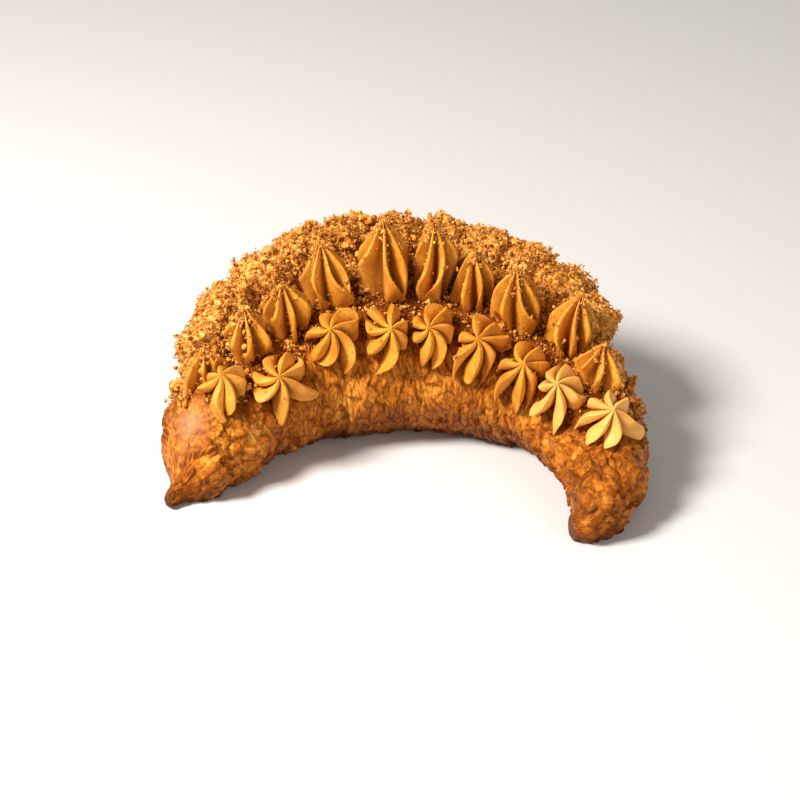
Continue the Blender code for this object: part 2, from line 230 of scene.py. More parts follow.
# Petals: points on a side and round the edge, the thickest edge beside the petal's root, the
# least length beside the valley, and how sharply the flanks draw in.
PETAL_SIDE = 6
PETAL_TIP = 5
THICKEST_EDGE = 0.9
LEAST_PETAL = 1.02
FLANK_CURVE = 2.4
EDGE_JITTER = (0.8, 1.25)
WAVE_PLACES = 50        # range of places in the noise that petals draw from
SHIFT = 0.18            # most that a petal's foot turns to either side
FLARE = (-0.05, 0.16)
FLARE_RISE = 0.25       # share of the height above which a flared foot is over
EVENING = 0.6           # how much of a petal's own length is lost on the way up
LEAST_EDGE = 0.3        # share of its thickness that a petal's edge keeps at the peak
BEND_START = 0.35
BEND_SHARE = 0.9
Ripple = namedtuple("Ripple", "amount turns place")
RAGGED = Ripple(0.05, 5.0, 0.5)
SWAY = Ripple(0.12, 3.0, 9.5)
STAR_RINGS = 28
RING_CROWDING = 0.9
TIP_START = 0.75        # share of the height from which the tip drifts aside
TIP_DRIFT = 14.0
PEAK_RISE = 0.25

# Where crumbs coat the cream: the stretch over which the coat comes in, and how far that wavers.
Edge = namedtuple("Edge", "low high waver")
BACK_COAT = Edge(-1.1, -0.5, 0.3)
RIDGE_TOP_COAT = Edge(0.80, 0.95, 0.12)
RIDGE_REAR_COAT = Edge(0.25, 0.55, 0.2)
COAT_NOISE = (4.0, 71.0)        # size and place in the noise
COAT_BUMPS = (Bumps(1.3, 4.2, 81.0), Bumps(0.45, 1.1, 91.0))
COAT_WAY = (0.6, 0.5)           # how far the coat's bumps rise along the axis and to the rear

# Crumbs: radii in millimetres, how many, how fine the shape they are cut from, and how strongly
# they keep to the places where the heap is deep.
Grade = namedtuple("Grade", "name low high count level pile")
GRADES = (
    Grade("crumbs_lumps", 0.9, 2.0, 560, 2, 2.0),
    Grade("crumbs_coarse", 0.5, 1.05, 4000, 1, 0.0),
    Grade("crumbs_medium", 0.3, 0.6, 9000, 1, 0.0),
    Grade("crumbs_small", 0.2, 0.4, 21500, 0, 0.0),
    Grade("crumbs_fine", 0.12, 0.26, 17000, 0, 0.0),
)
CRUMB_SEED = 7
CRUMB_SHAPES = 9
CRUMB_PULL = 0.28
PULL_LIMIT = 1.6
CRUMB_SQUASH = (0.65, 1.2)
SMALL_SHARE = 1.6       # above 1, more of a grade's crumbs are small
CRUMB_STRAY = 0.35      # how far crumbs stray from the face they lie on, in millimetres
CRUMB_STAND = 0.35      # how far a crumb's middle stands out, beside its radius
CRUMB_REACH = 1.3       # the longest crumb beside its radius
BOX_MARGIN = 1.0        # crumbs keep within this of the solids' box
FLOOR_GAP = 1.2         # and this much more above its foot

# How likely crumbs are, and how deep they lie in millimetres. A pair is a stretch over which they
# come in: OUT across the dough to its outer side, UP from faces turned down to faces turned up,
# REAR from faces turned to the crescent's inside to faces turned outward.
LINE_POINTS = 200
MEMORY_PARTS = 20
CRUMBED_START = (0.085, 0.13)
CRUMBED_END = (0.80, 0.85)
DOUGH_OUT = (-0.72, -0.45)
DOUGH_UP = (-0.3, 0.3)
DOUGH_CHANCE = 1.6
HEAP_DEPTH = (0.5, 2.2)
HEAP_OUT = (-0.3, 0.4)
HEAP_UP = (0.0, 0.4)
BACK_UP = (-0.7, 0.1)
BACK_CHANCE = 2.2
BACK_DEPTH = 1.2
BACK_DEPTH_UP = (-0.7, 0.5)
RIDGE_PEAK = Edge(0.66, 0.9, 0.22)
RIDGE_REAR = (-0.1, 0.7)
RIDGE_UP = (-0.5, 0.2)
RIDGE_CHANCES = (0.05, 0.9, 1.3)        # anywhere, on the rear and at the peak
RIDGE_DEPTH = (0.3, 0.5)
LEFT_END = (0.24, 0.12)
LEFT_MORE = 0.5
FRONT_UP = (-0.2, 0.4)
FRONT_CHANCE = 0.05

# The bed of crumbs between the stars of the back row: its stretch of the centre line, where it
# reaches its full height, and its reach to either side and its height beside a star's.
BED_ENDS = (0.148, 0.190, 0.690, 0.724)
BED_REACH = (0.5, 0.96)
BED_FILL = 0.92
BED_RINGS = 220
BED_POINTS = 44
BED_SINK = 1.0
BED_ROUNDING = 0.45
BED_LEAN = 0.6
BED_BUMPS = (Bumps(1.9, 5.2, 61.0), Bumps(0.6, 1.5, 67.0))

# Finishes: colours as linear red, green and blue, alone or after their place on a ramp.
CRUST_TONES = (
    (0.08, (0.92, 0.50, 0.135)), (0.27, (0.70, 0.285, 0.036)), (0.48, (0.46, 0.132, 0.010)),
    (0.70, (0.23, 0.052, 0.003)), (0.96, (0.10, 0.019, 0.001)),
)
CRUST_BLOOM = (0.50, 0.215, 0.105)
CRUST_SPECK = (0.16, 0.035, 0.003)
CRUST_SHINE = (1.0, 0.52, 0.2)
CREAM = (0.70, 0.285, 0.031)
CREAM_SHADE = (0.46, 0.148, 0.010)
# painted light: the lit cream colour of the most strongly lit stars
CREAM_LIT = (0.84, 0.45, 0.12)
# painted shade in the valleys between a star's petals
CREAM_VALLEY_SHADE = (0.20, 0.050, 0.005)
CREAM_SPECK = (0.24, 0.065, 0.01)
CREAM_DEPTH = (1.0, 0.45, 0.15)
CRUMB_TONES = (
    (0.14, (0.16, 0.036, 0.003)), (0.34, (0.37, 0.112, 0.010)),
    (0.56, (0.60, 0.235, 0.032)), (0.84, (0.82, 0.410, 0.095)),
)
CRUMB_SPECK = (0.14, 0.035, 0.004)
WARM_SHINE = (1.0, 0.72, 0.4)
FLOOR_TONE = (0.60, 0.565, 0.53)
ROOM_TONE = (1.0, 0.985, 0.97)
# What darkens the crust, how much each adds, and how much is taken off their sum.
DARK_STREAKS = 1.05
DARK_PATCHES = 0.45
DARK_BAKED_AND_SHADED = 0.75
DARK_RIMS = 0.36
LIGHTENED = 0.63
SPECK_RADIUS = 0.32     # beside the distance between specks
# How strongly masks tint a finish, and how high finer reliefs stand beside its main one.
BLOOM_TINT = 0.75
CRUST_SPECK_TINT = 0.55
CREAM_SPECK_TINT = 0.8
VALLEY_SHADE_TINT = 0.95
CRUMB_SPECK_TINT = 0.75
CRUST_GRAIN = 0.35
CREAM_GRAIN = 0.3
CREAM_SPECK_RISE = 0.4
COAT_RISE = -2.5
# How much of a crumb's tone is its own and how much drifts slowly over the heap.
OWN_TONE = 0.6
DRIFTING_TONE = 0.45
# Sockets of a colour mix node, by index because several share a name.
MIX_FACTOR, MIX_BELOW, MIX_ABOVE, MIX_RESULT = 0, 6, 7, 2

# Camera at the photograph's angle, distance and field, and a pale floor in a softly lit room. A
# lamp's place and size are in metres.
ELEVATION = math.radians(33.0)
DISTANCE = 0.70
AIM = Vector((0.0, 0.0, 25.0))
FOCAL_LENGTH = 101.7
SENSOR_WIDTH = 36.0
FLOOR_SIZE = 3000.0
ROOM_LIGHT = 0.35
Lamp = namedtuple("Lamp", "name place size watts")
LAMPS = (
    Lamp("key", (-0.45, -0.22, 0.60), 0.22, 12.5),
    Lamp("fill", (0.55, -0.50, 0.35), 0.5, 1.9),
)


def smooth_step(low, high, value):
    t = np.clip((value - low) / (high - low), 0.0, 1.0)
    return t * t * (3.0 - 2.0 * t)


def noise_at(points, size, offset=0.0):
    """Smooth noise from -1 to 1 at every point, with features of the given size."""
    places = np.asarray(points, float).reshape(-1, 3) / size + offset
    values = np.fromiter((noise.noise(p) for p in places.tolist()), float, len(places))
    return values.reshape(np.asarray(points).shape[:-1])


def bumpiness(points, layers):
    """Height of several layers of noise at every point, in millimetres."""
    return sum(layer.height * noise_at(points, layer.size, layer.place) for layer in layers)


def mesh_object(name, points, faces, surface, smooth=True):
    """A mesh from points in millimetres."""
    mesh = bpy.data.meshes.new(name)
    placed = (np.asarray(points, float) - ORIGIN) * MM
    mesh.from_pydata(placed.tolist(), [], faces)
    mesh.materials.append(surface)
    if smooth:
        mesh.shade_smooth()
    obj = bpy.data.objects.new(name, mesh)
    bpy.context.scene.collection.objects.link(obj)
    return obj


class Dough:
    """The pastry's surface, by share of the centre line and angle round it."""

    def __init__(self):
        self.rows = np.array(STATIONS, float)
        steps = np.linalg.norm(np.diff(self.rows[:, :2], axis=0), axis=1)
        self.length = float(steps.sum())
        self.marks = np.concatenate([[0.0], np.cumsum(steps)]) / self.length
        self.slopes = np.gradient(self.rows, self.marks, axis=0)

    def at(self, shares):
        """Place, half width and height of the dough at shares of its centre line."""
        shares = np.clip(shares, 0.0, 1.0)
        i = np.clip(np.searchsorted(self.marks, shares, "right") - 1, 0, len(self.marks) - 2)
        span = (self.marks[i + 1] - self.marks[i])[:, None]
        t = (shares - self.marks[i])[:, None] / span
        return (
            (2 * t**3 - 3 * t**2 + 1) * self.rows[i]
            + (t**3 - 2 * t**2 + t) * span * self.slopes[i]
            + (3 * t**2 - 2 * t**3) * self.rows[i + 1]
            + (t**3 - t**2) * span * self.slopes[i + 1]
        )

    def inward(self, shares):
        """Level direction towards the inside of the crescent."""
        way = self.at(shares + LINE_STEP)[:, :2] - self.at(shares - LINE_STEP)[:, :2]
        way /= np.linalg.norm(way, axis=1)[:, None]
        return np.stack([way[:, 1], -way[:, 0]], axis=1)

    def edge_relief(self, share, angle):
        """Sawtooth left by the rolled layers: each drops off towards the nearer tip."""
        wander = share + EDGE_SLANT * np.sin(angle * 0.5)
        left = np.array((0.0, *LEFT_EDGES, 0.5))
        right = np.array((0.5, *RIGHT_EDGES, 1.0))
        i = np.clip(np.searchsorted(left, wander, "left") - 1, 0, len(left) - 2)
        j = np.clip(np.searchsorted(right, wander, "right") - 1, 0, len(right) - 2)
        rise_left = (left[i + 1] - wander) / (left[i + 1] - left[i])
        rise_right = (wander - right[j]) / (right[j + 1] - right[j])
        rise = np.where(wander < 0.5, rise_left, rise_right)
        top = np.clip((np.sin(angle) - TOP_SINE) / TOP_SINE, 0.0, 1.0)
        under_cream = (share > COVERED[0]) & (share < COVERED[1])
        pressed = np.where(under_cream, 1.0 - (1.0 - PRESSED) * top, 1.0)
        return EDGE_HEIGHT * (rise - 0.5) * pressed

    def surface(self, shares, angles, fine=None):
        """Grid of points, shares by angles. fine adds its own height at each of them."""
        spine = self.at(shares)
        inward = self.inward(shares)
        half_width = spine[:, 2][:, None]
        height = spine[:, 3][:, None]
        half_height = height / (2.0 * FLATTENING)
        middle = height - half_height
        cos, sin = np.cos(angles)[None, :], np.sin(angles)[None, :]
        spot = np.empty((len(shares), len(angles), 3))
        spot[..., :2] = spine[:, None, :2] + inward[:, None, :] * (half_width * cos)[..., None]
        spot[..., 2] = half_height * sin
        grow = self.edge_relief(shares[:, None], angles[None, :])
        grow = grow + noise_at(spot, LUMP_SIZE) * LUMP_HEIGHT
        grow = grow * np.minimum(1.0, half_width / SMOOTH_WIDTH)
        if fine is not None:
            grow = grow + fine
        lift = TIP_LIFT * np.maximum(0.0, 1.0 - half_width / LIFTED_WIDTH)
        points = np.empty_like(spot)
        reach = (half_width + grow) * cos
        points[..., :2] = spine[:, None, :2] + inward[:, None, :] * reach[..., None]
        points[..., 2] = np.maximum(middle + (half_height + grow) * sin, 0.0) + lift
        return points

    def point(self, share, angle):
        return Vector(self.surface(np.array([share]), np.array([angle]))[0, 0])

    def normal(self, share, angle):
        step, turn = NORMAL_STEPS
        along = self.point(share + step, angle) - self.point(share - step, angle)
        around = self.point(share, angle + turn) - self.point(share, angle - turn)
        return around.cross(along).normalized() * -1.0


def ring_angles(count):
    foot = math.radians(FOOT_ANGLE)
    return -foot + (math.pi + 2 * foot) * np.arange(count) / (count - 1)


def grid_faces(rings, count):
    """Quads of a closed tube of rings, and a cap at each end."""
    r, i = np.meshgrid(np.arange(rings - 1), np.arange(count), indexing="ij")
    a = (r * count + i).ravel()
    b = (r * count + (i + 1) % count).ravel()
    faces = np.stack([b, a, a + count, b + count], axis=1).tolist()
    faces.append(list(range(count)))
    faces.append([(rings - 1) * count + k for k in range(count - 1, -1, -1)])
    return faces


def skin_places(dough, shares, angles):
    """Millimetres along and around the dough, for effects that follow its layers."""
    girth = np.maximum(dough.at(shares)[:, 2], LEAST_GIRTH)
    places = np.zeros((len(shares), len(angles), 3))
    places[..., 0] = (shares * dough.length)[:, None]
    places[..., 1] = girth[:, None] * angles[None, :]
    return places


def stretched(places, bumps):
    """Noise from -1 to 1 whose features have one size along the dough and another around it."""
    along, around = bumps.size
    return noise_at(places / (along, around, 1.0), 1.0, bumps.place)


def shingled_flakes(skin, flake):
    """Flakes that lie over each other like shingles: height, tone and how near the rim."""
    cell = skin[..., :2] / (flake.along, flake.around)
    home = np.floor(cell).astype(int)
    table = np.random.default_rng(flake.seed).random((FLAKE_TABLE, FLAKE_TABLE, 5))
    best = np.full(home.shape[:2], np.inf)
    second = best.copy()
    height, tone = np.zeros_like(best), np.zeros_like(best)
    for step_u in (-1, 0, 1):
        for step_v in (-1, 0, 1):
            at = home + (step_u, step_v)
            grain = table[at[..., 0] % FLAKE_TABLE, at[..., 1] % FLAKE_TABLE]
            offset = cell - at - grain[..., :2]
            gap = np.linalg.norm(offset, axis=-1)
            tilt = (grain[..., 2:4] - 0.5) * 2.0
            level = grain[..., 4] - 0.5 + (tilt * offset).sum(-1) * FLAKE_TILT
            nearer = gap < best
            second = np.where(nearer, best, np.minimum(second, gap))
            height, tone = np.where(nearer, level, height), np.where(nearer, grain[..., 4], tone)
            best = np.where(nearer, gap, best)
    rim = 1.0 - smooth_step(0.0, FLAKE_RIM, second - best)
    return height * flake.height, tone, rim


def crust_relief(dough, shares, angles):
    """Height of the flakes, blisters and fibres, with the tone and the rim of the flakes."""
    skin = skin_places(dough, shares, angles)
    for axis, wander in enumerate(FLAKE_WANDER):
        skin[..., axis] += noise_at(skin, wander.size, wander.place) * wander.height
    left, right = HORNS
    ends = np.maximum(1 - shares / left, 0.0) + np.maximum(1 - (1 - shares) / right, 0.0)
    ends = np.clip(ends, 0.0, 1.0)[:, None] ** 0.5
    broad, broad_tone, broad_rim = shingled_flakes(skin, BROAD_FLAKE)
    small, small_tone, small_rim = shingled_flakes(skin, SMALL_FLAKE)
    broad = broad * (BROAD_FLAKE.middle + BROAD_FLAKE.horns * ends)
    small = small * (SMALL_FLAKE.middle + SMALL_FLAKE.horns * ends)
    fibres = 1.0 - 2.0 * np.abs(stretched(skin, FIBRES))
    blisters = np.maximum(stretched(skin, BLISTERS), 0.0) ** BLISTER_ROUNDING
    relief = FIBRES.height * fibres * (1 - FIBRE_LOSS * ends) + BLISTERS.height * blisters
    relief += broad + small
    relief -= relief.mean()
    tone = BROAD_FLAKE.tone * broad_tone + SMALL_FLAKE.tone * small_tone
    rim = np.clip(BROAD_FLAKE.rim * broad_rim + SMALL_FLAKE.rim * small_rim, 0.0, 1.0)
    fade = np.minimum(1.0, dough.at(shares)[:, 2] / FLAKE_WIDTH)[:, None]
    return relief * fade, tone, rim


def past(start, breadth, value):
    """0 up to a start, 1 from a breadth past it, and even between them."""
    return np.clip((value - start) / breadth, 0.0, 1.0)


def crust_bake_and_shade(dough, shares, angles, tone, rim):
    """Colour channels of the crust: how dark it is from baking, low down and from painted shade under
    the cream, how pink, and the rims of its flakes.
    """
    skin = skin_places(dough, shares, angles)
    tips = np.exp(-shares / TIP_FADES[0]) + np.exp(-(1.0 - shares) / TIP_FADES[1])
    low = past(*LOW_SINES, -np.sin(angles))
    under_cream = past(*CREAM_SINES, np.sin(angles))
    covered = smooth_step(*CREAM_START, shares) * (1 - smooth_step(*CREAM_END, shares))
    dark = BAKE_AND_SHADE.ground + BAKE_AND_SHADE.flakes * tone + BAKE_AND_SHADE.patches * noise_at(skin, *PATCH_NOISE)
    dark = dark + BAKE_AND_SHADE.tips * tips[:, None] + BAKE_AND_SHADE.low * low[None, :]
    # painted shade on the crust under the cream, on the faces turned up
    dark += BAKE_AND_SHADE.covered * under_cream[None, :] * covered[:, None]
    bloom_share = np.exp(-((shares - BLOOM.share) / BLOOM.along) ** 2)
    bloom_angle = np.exp(-((angles - math.radians(BLOOM.angle)) / BLOOM.around) ** 2)
    channels = np.ones((len(shares), len(angles), 4))
    channels[..., 0] = np.clip(dark, 0.0, 1.0)
    channels[..., 1] = bloom_share[:, None] * bloom_angle[None, :]
    channels[..., 2] = rim
    return channels


def bake_crust(dough, surface):
    """The crust as one fine mesh, with its colours of bake and painted shade and its skin coordinates.
    """
    shares = np.linspace(0.0, 1.0, RINGS)
    angles = ring_angles(RING_POINTS)
    relief, tone, rim = crust_relief(dough, shares, angles)
    points = dough.surface(shares, angles, relief)
    crust = mesh_object("crust", points.reshape(-1, 3), grid_faces(RINGS, RING_POINTS), surface)
    channels = crust_bake_and_shade(dough, shares, angles, tone, rim)
    bake = crust.data.color_attributes.new("bake", "FLOAT_COLOR", "POINT")
    bake.data.foreach_set("color", channels.reshape(-1))
    skin = skin_places(dough, shares, angles)[..., :2].reshape(-1, 2) * SKIN_SCALE
    corners = np.empty(len(crust.data.loops), int)
    crust.data.loops.foreach_get("vertex_index", corners)
    crust.data.uv_layers.new(name="skin").data.foreach_set("uv", skin[corners].ravel())
    return crust


Star = namedtuple("Star", "name row seat axis outward radius height spin twist")


def place_stars(dough):
    """Every star's place, lean and size, each a little off its row's rule."""
    random.seed(STAR_SEED)
    stars = []
    for row in ROWS:
        for i, spot in enumerate(row.spots):
            angle = math.radians(spot.angle)
            toward, amount = row.lean
            axis = dough.normal(spot.share, angle).lerp(toward, amount).normalized()
            tilt = Vector([random.uniform(-1, 1) for _ in range(3)]) * math.radians(TILT_JITTER)
            scale = 1 + random.uniform(-SIZE_JITTER, SIZE_JITTER)
            outward = Vector((*-dough.inward(np.array([spot.share]))[0], 0.0))
            stars.append(Star(
                f"cream_{row.name}_{i + 1}", row, dough.point(spot.share, angle),
                (axis + tilt).normalized(), outward, spot.radius * scale, spot.height * scale,
                random.uniform(0, math.tau), random.uniform(*row.twist),
            ))
    return stars


def planes_between(star, stars):
    """Planes half way to each near star, which a star's petals are pressed against."""
    planes = []
    middle = star.seat + star.axis * star.height * WAIST
    for other in stars:
        away = other.seat + other.axis * other.height * WAIST - middle
        if other is star or away.length > (star.radius + other.radius) * NEIGHBOURHOOD:
            continue
        at = middle + away * star.radius / (star.radius + other.radius)
        planes.append((np.array(at), np.array(away.normalized())))
    return planes


class Ground:
    """Height of the dough under a star, along the star's axis, read off a polar grid."""

    def __init__(self, star, side, other, tree):
        self.reaches = np.linspace(0.0, star.radius * GROUND_REACH, GROUND_RINGS)
        self.heights = np.zeros((GROUND_RINGS, GROUND_TURNS))
        for r, reach in enumerate(self.reaches):
            for t in range(GROUND_TURNS):
                turn = math.tau * t / GROUND_TURNS
                spot = star.seat + (side * math.cos(turn) + other * math.sin(turn)) * reach
                hit = tree.ray_cast(spot + star.axis * RAY_START, -star.axis)[0]
                if hit is None:
                    hit = tree.find_nearest(spot)[0]
                self.heights[r, t] = (hit - star.seat).dot(star.axis)

    def under(self, turn, reach):
        """Height between the four nearest places of the grid."""
        t = np.mod(turn, math.tau) / math.tau * GROUND_TURNS
        t0 = np.floor(t).astype(int) % GROUND_TURNS
        t1 = (t0 + 1) % GROUND_TURNS
        part = t - np.floor(t)
        r = np.clip(reach / self.reaches[1], 0.0, GROUND_RINGS - LAST_CELL)
        r0 = np.floor(r).astype(int)
        up = r - r0
        near = self.heights[r0, t0] * (1 - part) + self.heights[r0, t1] * part
        far = self.heights[r0 + 1, t0] * (1 - part) + self.heights[r0 + 1, t1] * part
        return near * (1 - up) + far * up


Petal = namedtuple("Petal", "reach bend half wave shift flare")


def draw_petals(row, rng):
    """The unevenness of each of a star's petals."""
    return [
        Petal(
            rng.uniform(*row.reach), rng.uniform(-row.bend, row.bend),
            row.half * rng.uniform(*EDGE_JITTER), rng.uniform(0, WAVE_PLACES),
            rng.uniform(-SHIFT, SHIFT), rng.uniform(*FLARE),
        )
        for _ in range(row.lobes)
    ]


def rippled(ripple, petal, rise):
    return ripple.amount * noise.noise((rise * ripple.turns, petal.wave, ripple.place))


def petal_outline(reach, valley, half, lobes, swell):
    """One petal seen down the axis: the valley before it, a side, its round edge and a side."""
    spread = math.pi / lobes
    root_out, root_side = valley * math.cos(spread), valley * math.sin(spread)
    half = min(half, root_side * THICKEST_EDGE)
    edge = max(reach - half, root_out * LEAST_PETAL)
    points = []
    for k in range(PETAL_SIDE):
        t = k / PETAL_SIDE
        side = half + (root_side - half) * (1 - t) ** FLANK_CURVE + swell * math.sin(math.pi * t)
        points.append((root_out + (edge - root_out) * t, -side))
    for k in range(PETAL_TIP):
        turn = -math.pi / 2 + math.pi * k / (PETAL_TIP - 1)
        points.append((edge + half * math.cos(turn), half * math.sin(turn)))
    points += [(x, -y) for x, y in reversed(points[1:PETAL_SIDE])]
    return points


def ring_outline(star, petals, rise, body):
    """Turns and reaches of one ring of a star, petal by petal."""
    row = star.row
    flat = []
    for lobe, petal in enumerate(petals):
        ragged = 1 + rippled(RAGGED, petal, rise)
        foot = 1 + petal.flare * max(0.0, 1 - rise / FLARE_RISE)
        reach = body * (1 + (petal.reach - 1) * (1 - rise * EVENING)) * ragged * foot
        half = petal.half * min(1.0, LEAST_EDGE + body / star.radius)
        middle = math.tau * lobe / row.lobes + star.twist * rise + petal.shift * (1 - rise)
        sway = petal.bend * math.sin(math.pi * min(1.0, BEND_START + rise)) * BEND_SHARE
        sway += rippled(SWAY, petal, rise)
        swell = row.swell * body / star.radius
        for x, y in petal_outline(reach, body * row.valley, half, row.lobes, swell):
            turn = middle + math.atan2(y, x) + sway * (x / star.radius) ** 2
            flat.append((turn, math.hypot(x, y)))
    return np.array(flat).T


def lay_ring(star, ground, planes, frame, rise, turn, reach):
    """Points of one ring, seated on the dough and pressed back from the neighbouring stars."""
    seat = np.array(star.seat)
    for _ in range(PRESSES):
        base = ground.under(turn, reach) - SINK
        height = base + (star.height - base) * rise
        ways = np.stack([np.cos(turn), np.sin(turn), np.zeros_like(turn)], axis=1) @ frame
        centre = seat + height[:, None] * frame[2]
        for at, away in planes:
            facing = ways @ away
            room = np.maximum((at - centre) @ away - NEIGHBOUR_GAP, LEAST_ROOM)
            room = room / np.maximum(facing, FACING)
            soft = (reach**-SOFTNESS + room**-SOFTNESS) ** (-1 / SOFTNESS)
            reach = np.where(facing > FACING, np.minimum(reach, soft), reach)
    return centre + ways * reach[:, None]


def star_faces(count):
    """Quads between a star's rings, triangles at its peak and one face under its foot."""
    r, i = np.meshgrid(np.arange(STAR_RINGS - 1), np.arange(count), indexing="ij")
    a, b = (r * count + i).ravel(), (r * count + (i + 1) % count).ravel()
    faces = np.stack([a, b, b + count, a + count], axis=1).tolist()
    last, peak = (STAR_RINGS - 1) * count, STAR_RINGS * count
    faces += [[last + k, last + (k + 1) % count, peak] for k in range(count)]
    faces.append(list(range(count - 1, -1, -1)))
    return faces


def coat_past(edge, distance, wander):
    """How thick a coat of crumbs is at a distance past its wavering edge."""
    return smooth_step(edge.low, edge.high, distance + edge.waver * wander)


def crumb_coat(star, points):
    """How thickly fine crumbs coat each point of a star, and the points roughened by them."""
    rise = (points - np.array(star.seat)) @ np.array(star.axis) / star.height
    behind = (points - np.array(star.seat)) @ np.array(star.outward) / star.radius
    wander = noise_at(points, *COAT_NOISE)
    if star.row.name == "back":
        coat = coat_past(BACK_COAT, behind, wander)
    elif star.row.name == "ridge":
        top = coat_past(RIDGE_TOP_COAT, rise, wander)
        coat = np.maximum(top, coat_past(RIDGE_REAR_COAT, behind, wander))
    else:
        coat = np.zeros(len(points))
    way = np.array(star.axis * COAT_WAY[0] + star.outward * COAT_WAY[1])
    return coat, points + (coat * bumpiness(points, COAT_BUMPS))[:, None] * way


def set_mask(piece, name, values):
    """A value for every point of a piece, which its material reads by name."""
    piece.data.attributes.new(name, "FLOAT", "POINT").data.foreach_set("value", values)


def pipe_star(star, stars, tree, surface):
    """A star of thin petals that rise to a peak, soft at the edges and a little uneven."""
    rng = random.Random(star.name)
    side = star.axis.orthogonal().normalized()
    side.rotate(Quaternion(star.axis, star.spin))
    other = star.axis.cross(side)
    frame = np.array([side, other, star.axis])
    ground = Ground(star, side, other, tree)
    planes = planes_between(star, stars)
    petals = draw_petals(star.row, rng)
    lean = side * rng.uniform(-1, 1) + other * rng.uniform(-1, 1)
    heights, reaches = zip(*star.row.profile)
    rings, valley_shades = [], []
    for k in range(STAR_RINGS):
        rise = (k / (STAR_RINGS - 1)) ** RING_CROWDING
        body = float(np.interp(rise, heights, reaches)) * star.radius
        turn, reach = ring_outline(star, petals, rise, body)
        # painted shade: the cream darkens where a ring draws in between its petals
        valley_shades.append(smooth_step(*VALLEY_SHADE, reach / body))
        drift = lean * (max(0.0, rise - TIP_START) ** 2 * TIP_DRIFT)
        rings.append(lay_ring(star, ground, planes, frame, rise, turn, reach) + np.array(drift))
    count = len(rings[0])
    points = np.concatenate(rings + [rings[-1].mean(0, keepdims=True) + PEAK_RISE * frame[2]])
    coat, points = crumb_coat(star, points)
    hollow = np.concatenate(valley_shades + [np.zeros(1)])
    piece = mesh_object(star.name + "_piped", points, star_faces(count), surface)
    set_mask(piece, "coat", coat)
    set_mask(piece, "hollow", hollow)
    # painted light on the most strongly lit stars, less of it in the valleys
    set_mask(piece, "pale", np.full(len(points), PAINTED_LIGHT.get(star.name, 0.0)) * (1 - PAINTED_LIGHT_LOSS * hollow))
    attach(piece, "root")
    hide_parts(star.name)
    return piece


def crumb_bed(dough, tree, surface):
    """Crumbs heaped between the stars of the back row, as one lumpy skin a little below their tops."""
    toward, amount = ROWS[-1].lean
    spots = np.array(BACK, float)
    shares = np.linspace(BED_ENDS[0], BED_ENDS[-1], BED_RINGS)
    angles, radii, heights = (np.interp(shares, spots[:, 0], spots[:, k]) for k in (1, 2, 3))
    full = smooth_step(*BED_ENDS[:2], shares) * (1 - smooth_step(*BED_ENDS[2:], shares))
    outward = -dough.inward(shares)
    turns = np.linspace(-math.pi / 2, math.pi / 2, BED_POINTS)
    points, ways = [], []
    for k, share in enumerate(shares):
        angle = math.radians(angles[k])
        seat = dough.point(share, angle)
        axis = dough.normal(share, angle).lerp(toward, amount).normalized()
        side = Vector((*outward[k], 0.0))
        side = (side - axis * side.dot(axis)).normalized()
        for turn in turns:
            reach = math.sin(turn) * radii[k] * BED_REACH[int(turn > 0)]
            spot = seat + side * reach
            hit = tree.ray_cast(spot + axis * RAY_START, -axis)[0] or tree.find_nearest(spot)[0]
            base = (hit - seat).dot(axis) - BED_SINK
            top = heights[k] * BED_FILL * full[k]
            arch = max(math.cos(turn), 0.0) ** BED_ROUNDING
            points.append(spot + axis * (base + max(top - base, 0.0) * arch))
            ways.append((axis + side * BED_LEAN) * arch)
    points = np.array(points)
    points = points + bumpiness(points, BED_BUMPS)[:, None] * np.array(ways)
    bed = mesh_object("crumb_bed", points, grid_faces(BED_RINGS, BED_POINTS), surface)
    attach(bed, "root")
    return bed


def crumb_shapes(level, rng):
    """Irregular grains: a coarse ball with every point pulled in or out."""
    shapes = []
    for _ in range(CRUMB_SHAPES):
        points, faces = icosphere(level) if level else octahedron()
        pulls = 1 + CRUMB_PULL * rng.standard_normal(len(points)).clip(-PULL_LIMIT, PULL_LIMIT)
        squash = rng.uniform(*CRUMB_SQUASH, 3)
        shapes.append((points * pulls[:, None] * squash, faces))
    return shapes


def octahedron():
    points = np.array([(1, 0, 0), (-1, 0, 0), (0, 1, 0), (0, -1, 0), (0, 0, 1), (0, 0, -1)], float)
    faces = [(0, 2, 4), (2, 1, 4), (1, 3, 4), (3, 0, 4), (2, 0, 5), (1, 2, 5), (3, 1, 5), (0, 3, 5)]
    return points, np.array(faces)


def icosphere(level):
    ball = bmesh.new()
    bmesh.ops.create_icosphere(ball, subdivisions=level, radius=1.0)
    points = np.array([v.co[:] for v in ball.verts])
    faces = np.array([[v.index for v in f.verts] for f in ball.faces])
    ball.free()
    return points, faces


def random_turns(count, rng):
    """Evenly spread rotation matrices."""
    q = rng.standard_normal((count, 4))
    q /= np.linalg.norm(q, axis=1)[:, None]
    w, x, y, z = q.T
    return np.stack([
        np.stack([1 - 2 * (y * y + z * z), 2 * (x * y - z * w), 2 * (x * z + y * w)], axis=1),
        np.stack([2 * (x * y + z * w), 1 - 2 * (x * x + z * z), 2 * (y * z - x * w)], axis=1),
        np.stack([2 * (x * z - y * w), 2 * (y * z + x * w), 1 - 2 * (x * x + y * y)], axis=1),
    ], axis=1)


def faces_of(obj):
    """Centre in millimetres, normal and area of every face."""
    mesh = obj.data
    count = len(mesh.polygons)
    centres, normals, areas = np.empty(count * 3), np.empty(count * 3), np.empty(count)
    mesh.polygons.foreach_get("center", centres)
    mesh.polygons.foreach_get("normal", normals)
    mesh.polygons.foreach_get("area", areas)
    return centres.reshape(-1, 3) / MM + ORIGIN, normals.reshape(-1, 3), areas


